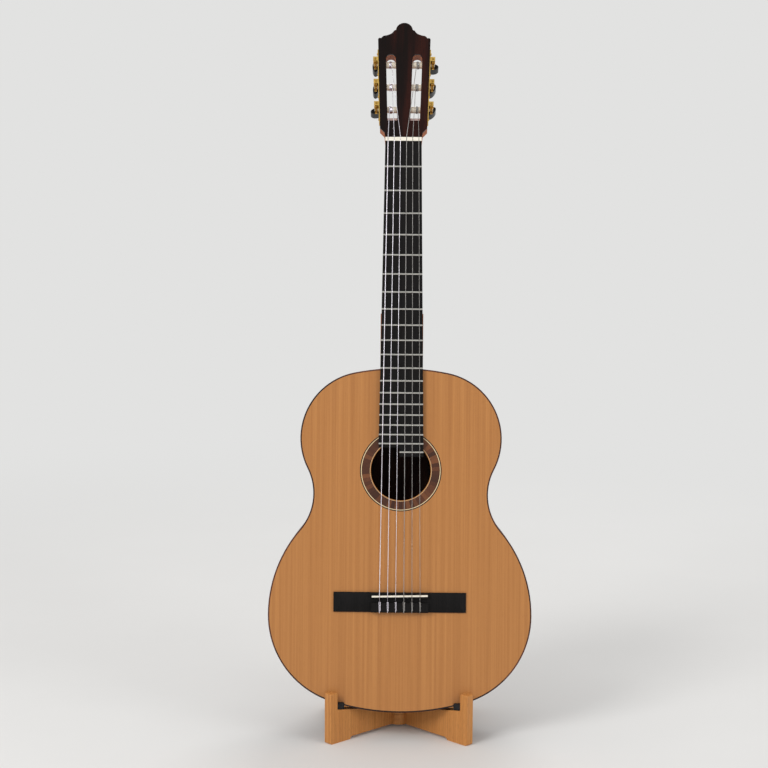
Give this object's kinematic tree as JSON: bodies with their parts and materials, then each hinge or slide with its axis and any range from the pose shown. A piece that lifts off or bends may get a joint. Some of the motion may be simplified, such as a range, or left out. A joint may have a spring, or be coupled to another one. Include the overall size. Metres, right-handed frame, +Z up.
{
  "type": "guitar on stand",
  "caption": "Classical guitar with a slotted head and geared tuners, leaning on a low folding stand of crossed wooden boards with padded lips.",
  "frame": {"origin": "on the floor, under the middle of the whole object", "axes": "+Z up, -Y to the front of the guitar, +X to its treble side, on the right as seen from the front"},
  "size_m": [0.378, 0.221, 1.0263],
  "materials": {
    "cedar_top": "satin lacquer",
    "rosewood": "gloss lacquer",
    "rosette_wood": "satin lacquer",
    "ebony": "oiled",
    "bone": "polished",
    "neck_cedar": "satin lacquer",
    "dark_rosewood": "gloss lacquer",
    "spruce": "bare",
    "maple": "gloss lacquer",
    "fret_silver": "polished",
    "gold_brass": "polished",
    "screw_brass": "polished",
    "wound_string": "wound",
    "nylon_string": "clear gloss",
    "black_button": "gloss",
    "worm_steel": "polished",
    "roller_bone": "satin",
    "gear_brass": "satin",
    "stand_wood": "oiled",
    "pin_steel": "satin",
    "black_pad": "matt"
  },
  "bodies": {
    "right_leg": {"stand_leg_right": "stand_wood", "hinge_pin": "pin_steel", "pads_right": "black_pad"},
    "left_leg": {"stand_leg_left": "stand_wood", "pads_left": "black_pad"},
    "guitar": {"soundboard": "cedar_top", "rosette": "rosette_wood", "back": "rosewood", "rib_bass": "rosewood", "rib_treble": "rosewood", "bindings": "rosewood", "linings": "neck_cedar", "heel_block": "neck_cedar", "tail_block": "neck_cedar", "tail_wedge": "maple", "bridge_patch": "spruce", "soundboard_braces": "spruce", "back_centre_strip": "rosewood", "back_braces": "spruce", "fretboard": "ebony", "frets": "fret_silver", "nut": "bone", "bridge": "ebony", "saddle": "bone", "head_veneer": "dark_rosewood", "neck": "neck_cedar", "heel_cap": "dark_rosewood", "tuner_plate_bass": "gold_brass", "tuner_plate_treble": "gold_brass", "plate_screws": "screw_brass", "string_6": "wound_string", "string_5": "wound_string", "string_4": "wound_string", "string_3": "nylon_string", "string_2": "nylon_string", "string_1": "nylon_string"},
    "peg_6": {"button_6": "black_button", "worm_6": "worm_steel"},
    "reel_6": {"roller_6": "roller_bone", "gear_6": "gear_brass"},
    "peg_5": {"button_5": "black_button", "worm_5": "worm_steel"},
    "reel_5": {"roller_5": "roller_bone", "gear_5": "gear_brass"},
    "peg_4": {"button_4": "black_button", "worm_4": "worm_steel"},
    "reel_4": {"roller_4": "roller_bone", "gear_4": "gear_brass"},
    "peg_3": {"button_3": "black_button", "worm_3": "worm_steel"},
    "reel_3": {"roller_3": "roller_bone", "gear_3": "gear_brass"},
    "peg_2": {"button_2": "black_button", "worm_2": "worm_steel"},
    "reel_2": {"roller_2": "roller_bone", "gear_2": "gear_brass"},
    "peg_1": {"button_1": "black_button", "worm_1": "worm_steel"},
    "reel_1": {"roller_1": "roller_bone", "gear_1": "gear_brass"}
  },
  "joints": [
    {"name": "stand_fold", "type": "hinge", "parent": "right_leg", "child": "left_leg", "pos_m": [0, -0.0147, 0.015], "axis": [0, 0, 1], "range_deg": [0, 90]},
    {"name": "lift_off", "type": "slide", "parent": "right_leg", "child": "guitar", "axis": [0, 0.1132, 0.9936], "range_m": [0, 0.25]},
    {"name": "peg_turn_6", "type": "hinge", "parent": "guitar", "child": "peg_6", "pos_m": [-0.0398, 0.04404, 0.90683], "axis": [0, 0.9239, -0.3827], "continuous": true},
    {"name": "reel_turn_6", "type": "hinge", "parent": "guitar", "child": "reel_6", "pos_m": [-0.01689, 0.04108, 0.89967], "axis": [1, 0, 0], "continuous": true},
    {"name": "peg_turn_5", "type": "hinge", "parent": "guitar", "child": "peg_5", "pos_m": [-0.04086, 0.05744, 0.93916], "axis": [0, 0.9239, -0.3827], "continuous": true},
    {"name": "reel_turn_5", "type": "hinge", "parent": "guitar", "child": "reel_5", "pos_m": [-0.01793, 0.05447, 0.932], "axis": [1, 0, 0], "continuous": true},
    {"name": "peg_turn_4", "type": "hinge", "parent": "guitar", "child": "peg_4", "pos_m": [-0.04193, 0.07083, 0.9715], "axis": [0, 0.9239, -0.3827], "continuous": true},
    {"name": "reel_turn_4", "type": "hinge", "parent": "guitar", "child": "reel_4", "pos_m": [-0.01897, 0.06786, 0.96434], "axis": [1, 0, 0], "continuous": true},
    {"name": "peg_turn_3", "type": "hinge", "parent": "guitar", "child": "peg_3", "pos_m": [0.04193, 0.07083, 0.9715], "axis": [0, 0.9239, -0.3827], "continuous": true},
    {"name": "reel_turn_3", "type": "hinge", "parent": "guitar", "child": "reel_3", "pos_m": [0.01897, 0.06786, 0.96434], "axis": [1, 0, 0], "continuous": true},
    {"name": "peg_turn_2", "type": "hinge", "parent": "guitar", "child": "peg_2", "pos_m": [0.04086, 0.05744, 0.93916], "axis": [0, 0.9239, -0.3827], "continuous": true},
    {"name": "reel_turn_2", "type": "hinge", "parent": "guitar", "child": "reel_2", "pos_m": [0.01793, 0.05447, 0.932], "axis": [1, 0, 0], "continuous": true},
    {"name": "peg_turn_1", "type": "hinge", "parent": "guitar", "child": "peg_1", "pos_m": [0.0398, 0.04404, 0.90683], "axis": [0, 0.9239, -0.3827], "continuous": true},
    {"name": "reel_turn_1", "type": "hinge", "parent": "guitar", "child": "reel_1", "pos_m": [0.01689, 0.04108, 0.89967], "axis": [1, 0, 0], "continuous": true}
  ],
  "couplings": [
    {"joint": "reel_turn_6", "follows": "peg_turn_6", "ratio": 0.071429},
    {"joint": "reel_turn_5", "follows": "peg_turn_5", "ratio": 0.071429},
    {"joint": "reel_turn_4", "follows": "peg_turn_4", "ratio": 0.071429},
    {"joint": "reel_turn_3", "follows": "peg_turn_3", "ratio": 0.071429},
    {"joint": "reel_turn_2", "follows": "peg_turn_2", "ratio": 0.071429},
    {"joint": "reel_turn_1", "follows": "peg_turn_1", "ratio": 0.071429}
  ]
}
